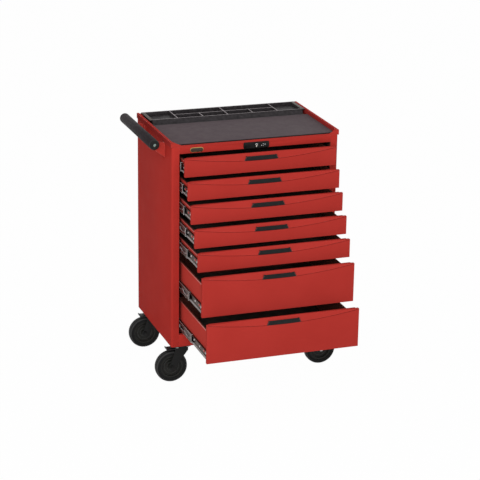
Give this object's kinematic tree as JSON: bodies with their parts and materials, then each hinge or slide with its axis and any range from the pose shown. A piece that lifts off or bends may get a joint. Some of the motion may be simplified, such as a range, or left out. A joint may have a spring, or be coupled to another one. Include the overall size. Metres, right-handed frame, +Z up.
{
  "type": "rolling tool chest",
  "caption": "Tall rolling tool chest: drawers on ball slides, curved-strip fronts with central grips, worktop with organiser tray, key lock, side push handle, casters.",
  "frame": {"origin": "on the floor, under the middle of the part's bounding box as it stands with its drawers part open", "axes": "+Z up, +X to the right as one faces the drawers, -Y out of the drawer fronts; the push handle is at -X"},
  "size_m": [0.788, 0.8094, 1.001],
  "materials": {
    "red_paint": "semi-gloss red powder coat on sheet steel",
    "dark_paint": "satin black coated steel",
    "zinc": "bright zinc plate",
    "lock_chrome": "chrome plate",
    "mat_rubber": "fine-grained dark grey mat",
    "tray_plastic": "textured black plastic",
    "grip_plastic": "textured black plastic",
    "pedal_plastic": "black plastic",
    "handle_plastic": "soft black plastic sleeve and caps",
    "tyre": "black rubber",
    "hub_plastic": "dark grey plastic"
  },
  "bodies": {
    "cabinet": {"left_side_panel": "red_paint", "right_side_panel": "red_paint", "back_panel": "red_paint", "base_pan": "red_paint", "top_fascia": "red_paint", "worktop_pan": "red_paint", "slide_posts": "dark_paint", "cabinet_rails": "zinc", "worktop_mat": "mat_rubber", "organiser_tray": "tray_plastic", "lock_plate": "grip_plastic", "lock_barrel": "lock_chrome", "handle_brackets": "red_paint", "handle_tube": "handle_plastic", "handle_end_caps": "handle_plastic", "bolts_and_screws": "zinc", "swivel_plates": "dark_paint", "rigid_forks": "dark_paint"},
    "drawer_1": {"drawer_1": "red_paint", "drawer_grip_1": "grip_plastic", "drawer_rails_1": "zinc"},
    "middle_slides_1": {"middle_rails_1": "zinc"},
    "drawer_2": {"drawer_2": "red_paint", "drawer_grip_2": "grip_plastic", "drawer_rails_2": "zinc"},
    "middle_slides_2": {"middle_rails_2": "zinc"},
    "drawer_3": {"drawer_3": "red_paint", "drawer_grip_3": "grip_plastic", "drawer_rails_3": "zinc"},
    "middle_slides_3": {"middle_rails_3": "zinc"},
    "drawer_4": {"drawer_4": "red_paint", "drawer_grip_4": "grip_plastic", "drawer_rails_4": "zinc"},
    "middle_slides_4": {"middle_rails_4": "zinc"},
    "drawer_5": {"drawer_5": "red_paint", "drawer_grip_5": "grip_plastic", "drawer_rails_5": "zinc"},
    "middle_slides_5": {"middle_rails_5": "zinc"},
    "drawer_6": {"drawer_6": "red_paint", "drawer_grip_6": "grip_plastic", "drawer_rails_6": "zinc"},
    "middle_slides_6": {"middle_rails_6": "zinc"},
    "drawer_7": {"drawer_7": "red_paint", "drawer_grip_7": "grip_plastic", "drawer_rails_7": "zinc"},
    "middle_slides_7": {"middle_rails_7": "zinc"},
    "lock_plug": {"lock_plug": "lock_chrome"},
    "lock_bar": {"lock_bar": "zinc"},
    "swivel_front": {"swivel_fork_front": "dark_paint"},
    "pedal_front": {"brake_pedal_front": "pedal_plastic"},
    "wheel_front_left": {"tyre_front_left": "tyre", "hub_front_left": "hub_plastic"},
    "wheel_front_right": {"tyre_front_right": "tyre", "hub_front_right": "hub_plastic"},
    "swivel_rear": {"swivel_fork_rear": "dark_paint"},
    "pedal_rear": {"brake_pedal_rear": "pedal_plastic"},
    "wheel_rear_left": {"tyre_rear_left": "tyre", "hub_rear_left": "hub_plastic"},
    "wheel_rear_right": {"tyre_rear_right": "tyre", "hub_rear_right": "hub_plastic"}
  },
  "joints": [
    {"name": "drawer_1_slide", "type": "slide", "parent": "cabinet", "child": "drawer_1", "axis": [0, -1, 0], "range_m": [-0.063, 0.322]},
    {"name": "middle_1_slide", "type": "slide", "parent": "cabinet", "child": "middle_slides_1", "axis": [0, -1, 0], "range_m": [-0.0315, 0.161]},
    {"name": "drawer_2_slide", "type": "slide", "parent": "cabinet", "child": "drawer_2", "axis": [0, -1, 0], "range_m": [-0.105, 0.28]},
    {"name": "middle_2_slide", "type": "slide", "parent": "cabinet", "child": "middle_slides_2", "axis": [0, -1, 0], "range_m": [-0.0525, 0.14]},
    {"name": "drawer_3_slide", "type": "slide", "parent": "cabinet", "child": "drawer_3", "axis": [0, -1, 0], "range_m": [-0.145, 0.24]},
    {"name": "middle_3_slide", "type": "slide", "parent": "cabinet", "child": "middle_slides_3", "axis": [0, -1, 0], "range_m": [-0.0725, 0.12]},
    {"name": "drawer_4_slide", "type": "slide", "parent": "cabinet", "child": "drawer_4", "axis": [0, -1, 0], "range_m": [-0.19, 0.195]},
    {"name": "middle_4_slide", "type": "slide", "parent": "cabinet", "child": "middle_slides_4", "axis": [0, -1, 0], "range_m": [-0.095, 0.0975]},
    {"name": "drawer_5_slide", "type": "slide", "parent": "cabinet", "child": "drawer_5", "axis": [0, -1, 0], "range_m": [-0.231, 0.154]},
    {"name": "middle_5_slide", "type": "slide", "parent": "cabinet", "child": "middle_slides_5", "axis": [0, -1, 0], "range_m": [-0.1155, 0.077]},
    {"name": "drawer_6_slide", "type": "slide", "parent": "cabinet", "child": "drawer_6", "axis": [0, -1, 0], "range_m": [-0.282, 0.103]},
    {"name": "middle_6_slide", "type": "slide", "parent": "cabinet", "child": "middle_slides_6", "axis": [0, -1, 0], "range_m": [-0.141, 0.0515]},
    {"name": "drawer_7_slide", "type": "slide", "parent": "cabinet", "child": "drawer_7", "axis": [0, -1, 0], "range_m": [-0.343, 0.042]},
    {"name": "middle_7_slide", "type": "slide", "parent": "cabinet", "child": "middle_slides_7", "axis": [0, -1, 0], "range_m": [-0.1715, 0.021]},
    {"name": "key_turn", "type": "hinge", "parent": "cabinet", "child": "lock_plug", "pos_m": [0.025, -0.06025, 0.958], "axis": [0, -1, 0], "range_deg": [0, 90]},
    {"name": "lock_bar_slide", "type": "slide", "parent": "cabinet", "child": "lock_bar", "axis": [0, 0, -1], "range_m": [0, 0.00792]},
    {"name": "swivel_front_turn", "type": "hinge", "parent": "cabinet", "child": "swivel_front", "pos_m": [-0.2645, -0.01625, 0.1467], "axis": [0, 0, 1], "continuous": true},
    {"name": "wheel_front_left_roll", "type": "hinge", "parent": "swivel_front", "child": "wheel_front_left", "pos_m": [-0.3025, -0.01625, 0.0645], "axis": [0, 1, 0], "continuous": true},
    {"name": "wheel_front_right_roll", "type": "hinge", "parent": "cabinet", "child": "wheel_front_right", "pos_m": [0.3295, -0.01625, 0.0645], "axis": [0, 1, 0], "continuous": true},
    {"name": "pedal_front_press", "type": "hinge", "parent": "swivel_front", "child": "pedal_front", "pos_m": [-0.2865, -0.01625, 0.1377], "axis": [0, -1, 0], "range_deg": [0, 10]},
    {"name": "swivel_rear_turn", "type": "hinge", "parent": "cabinet", "child": "swivel_rear", "pos_m": [-0.2645, 0.36075, 0.1467], "axis": [0, 0, 1], "continuous": true},
    {"name": "wheel_rear_left_roll", "type": "hinge", "parent": "swivel_rear", "child": "wheel_rear_left", "pos_m": [-0.3025, 0.36075, 0.0645], "axis": [0, 1, 0], "continuous": true},
    {"name": "wheel_rear_right_roll", "type": "hinge", "parent": "cabinet", "child": "wheel_rear_right", "pos_m": [0.3295, 0.36075, 0.0645], "axis": [0, 1, 0], "continuous": true},
    {"name": "pedal_rear_press", "type": "hinge", "parent": "swivel_rear", "child": "pedal_rear", "pos_m": [-0.2865, 0.36075, 0.1377], "axis": [0, -1, 0], "range_deg": [0, 10]}
  ],
  "couplings": [
    {"joint": "middle_1_slide", "follows": "drawer_1_slide", "ratio": 0.5},
    {"joint": "middle_2_slide", "follows": "drawer_2_slide", "ratio": 0.5},
    {"joint": "middle_3_slide", "follows": "drawer_3_slide", "ratio": 0.5},
    {"joint": "middle_4_slide", "follows": "drawer_4_slide", "ratio": 0.5},
    {"joint": "middle_5_slide", "follows": "drawer_5_slide", "ratio": 0.5},
    {"joint": "middle_6_slide", "follows": "drawer_6_slide", "ratio": 0.5},
    {"joint": "middle_7_slide", "follows": "drawer_7_slide", "ratio": 0.5},
    {"joint": "key_turn", "follows": "lock_bar_slide", "rad_per_m": 198.33}
  ]
}
